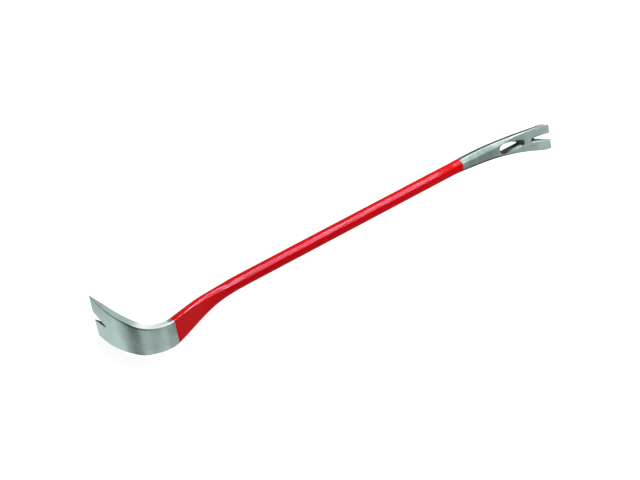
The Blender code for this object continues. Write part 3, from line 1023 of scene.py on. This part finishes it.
# The camera's place and aim in the bar's own coordinates, with its lens and sensor in millimetres
CAMERA_EYE = (-1.2696, -2.0756, 1.2544)
CAMERA_FORWARD = (0.5016, 0.7401, -0.4480)
CAMERA_ROLL = -10.96
CAMERA_LENS = 112.5
CAMERA_SENSOR = 36.0
CAMERA_REACH = 100.0

FLOOR_SIZE = 12.0
FLOOR_COLOUR = 0.40
FLOOR_ROUGHNESS = 0.9
FLOOR_GLOW = 0.80

# Light of the studio: a white backdrop round the horizon, seen only straight or in a reflection,
# that fades out between two elevations in degrees, and the dimmer light from all round
BACKDROP = 1.0
BACKDROP_TOP = (10.0, 18.0)
AMBIENT = 0.40

# Soft rectangles in the sky, in degrees, and the lamps among them with their radiance
SoftBox = namedtuple("SoftBox", "azimuth elevation half_width half_height softness")
SOFT_LAMPS = (
    (SoftBox(56, 42, 12, 8, 5), 1.2),
    (SoftBox(12, 64, 24, 22, 8), 2.4),
    (SoftBox(-85, 60, 18, 8, 4), 2.2),
)
# Share of a soft lamp's radiance that lights surfaces, next to what its reflection shows
LAMP_SPILL = 0.5
# Dark drape on one side, and the light that it takes away
DRAPE = SoftBox(162, 40, 58, 30, 8)
DRAPE_DARKENS = 0.06

# Strip lamps in the frame's coordinates, which the coat mirrors towards the camera: both ends,
# what each one faces, and its radiance
StripLamp = namedtuple("StripLamp", "name start end target radiance")
STRIP_WIDTH = 0.036
STRIP_LAMPS = (
    StripLamp("shaft_strip", (0.35, -0.570, 0.957), (0.86, -0.533, 0.896), (0.0, -0.03, 0.03), 76.0),
    StripLamp("neck_strip", (0.536, -0.500, 0.891), (0.776, -0.141, 0.638), (-0.25, -0.02, 0.03), 70.0),
)


def aim(place, forward, roll):
    """Matrix of a camera at a place that looks along forward and is rolled by some degrees."""
    back = -Vector(forward).normalized()
    right = Vector((0, 0, 1)).cross(back).normalized()
    up = back.cross(right)
    turned = Matrix((right, up, back)).transposed() @ Matrix.Rotation(math.radians(roll), 3, "Z")
    return Matrix.Translation(place) @ turned.to_4x4()


def add_camera(shift):
    data = bpy.data.cameras.new("camera")
    data.lens = CAMERA_LENS
    data.sensor_width = CAMERA_SENSOR
    data.clip_end = CAMERA_REACH
    camera = bpy.data.objects.new("camera", data)
    camera.matrix_world = aim(Vector(CAMERA_EYE) + shift, CAMERA_FORWARD, CAMERA_ROLL)
    bpy.context.scene.collection.objects.link(camera)
    bpy.context.scene.camera = camera


def add_strip_lamp(strip):
    """A strip lamp between two points that faces its target, hidden from the camera itself."""
    start, end = Vector(strip.start), Vector(strip.end)
    middle = (start + end) / 2
    way = (end - start).normalized()
    back = middle - Vector(strip.target)
    back = (back - way * back.dot(way)).normalized()
    turned = Matrix((way, back.cross(way), back)).transposed()
    data = bpy.data.lights.new(strip.name, "AREA")
    data.shape = "RECTANGLE"
    data.size = (end - start).length
    data.size_y = STRIP_WIDTH
    data.energy = strip.radiance * math.pi * data.size * STRIP_WIDTH
    lamp = bpy.data.objects.new(strip.name, data)
    lamp.matrix_world = Matrix.Translation(middle) @ turned.to_4x4()
    lamp.visible_camera = False
    bpy.context.scene.collection.objects.link(lamp)


def seen_ray(pattern):
    """1 for rays that see the surroundings, straight or in a reflection, and 0 for those that only light."""
    rays = pattern.nodes.new("ShaderNodeLightPath").outputs
    return pattern.most(rays["Is Camera Ray"], rays["Is Glossy Ray"], rays["Is Transmission Ray"])


def add_floor():
    """A matt floor that also glows for the rays that see it, so that it looks white."""
    mesh = bpy.data.meshes.new("floor")
    bm = bmesh.new()
    bmesh.ops.create_grid(bm, x_segments=1, y_segments=1, size=FLOOR_SIZE / 2)
    bm.to_mesh(mesh)
    bm.free()
    floor = bpy.data.objects.new("floor", mesh)
    bpy.context.scene.collection.objects.link(floor)
    material, inputs = new_material("pale_floor")
    inputs["Base Color"].default_value = (FLOOR_COLOUR, FLOOR_COLOUR, FLOOR_COLOUR, 1)
    inputs["Roughness"].default_value = FLOOR_ROUGHNESS
    inputs["Specular IOR Level"].default_value = 0.0
    pattern = Pattern(material.node_tree)
    nodes = pattern.nodes
    glow = nodes.new("ShaderNodeEmission")
    pattern.feed(glow.inputs["Strength"], pattern.product(seen_ray(pattern), FLOOR_GLOW))
    both = nodes.new("ShaderNodeAddShader")
    pattern.feed(both.inputs[0], nodes["Principled BSDF"].outputs["BSDF"])
    pattern.feed(both.inputs[1], glow.outputs["Emission"])
    pattern.feed(nodes["Material Output"].inputs["Surface"], both.outputs["Shader"])
    mesh.materials.append(material)


def soft_box(pattern, direction, box):
    """1 in the directions that a soft rectangle covers and 0 round it, with a soft border."""
    azimuth, elevation = math.radians(box.azimuth), math.radians(box.elevation)
    cos_az, sin_az = math.cos(azimuth), math.sin(azimuth)
    cos_el, sin_el = math.cos(elevation), math.sin(elevation)
    forward = (cos_az * cos_el, sin_az * cos_el, sin_el)
    sideways = (-sin_az, cos_az, 0.0)
    upwards = (-cos_az * sin_el, -sin_az * sin_el, cos_el)
    shape = pattern.math("GREATER_THAN", pattern.dot(direction, forward), 0.0)
    for axis, half in ((sideways, box.half_width), (upwards, box.half_height)):
        inner = math.sin(math.radians(max(0, half - box.softness)))
        outer = math.sin(math.radians(half + box.softness))
        off_axis = pattern.math("ABSOLUTE", pattern.dot(direction, axis))
        shape = pattern.product(shape, pattern.ramp(off_axis, inner, outer, 1.0, 0.0))
    return shape


def add_world():
    """A white backdrop round the horizon, and an even dome with a few broad lamps and a drape in it."""
    world = bpy.data.worlds.new("studio")
    world.use_nodes = True
    bpy.context.scene.world = world
    pattern = Pattern(world.node_tree)
    nodes = pattern.nodes
    direction = nodes.new("ShaderNodeTexCoord").outputs["Generated"]
    low, high = (math.sin(math.radians(height)) for height in BACKDROP_TOP)
    backdrop = pattern.ramp(pattern.part(direction, UP), low, high, BACKDROP - AMBIENT, 0.0)
    light = pattern.math("ADD", pattern.product(backdrop, seen_ray(pattern)), AMBIENT)
    drape = pattern.product(soft_box(pattern, direction, DRAPE), DRAPE_DARKENS)
    light = pattern.math("SUBTRACT", light, drape)
    spill = pattern.ramp(seen_ray(pattern), 0.0, 1.0, LAMP_SPILL, 1.0)
    for box, radiance in SOFT_LAMPS:
        lamp = pattern.product(soft_box(pattern, direction, box), spill, radiance)
        light = pattern.math("ADD", lamp, light)
    background = nodes["Background"].inputs
    pattern.feed(background["Strength"], light)
    background["Color"].default_value = (1, 1, 1, 1)


def build_studio(shift):
    """Adds the floor, the light and the camera."""
    add_floor()
    add_world()
    add_camera(shift)
    for strip in STRIP_LAMPS:
        add_strip_lamp(strip)


shift = build_bar()
build_studio(shift)
bpy.context.scene.view_settings.view_transform = "Standard"
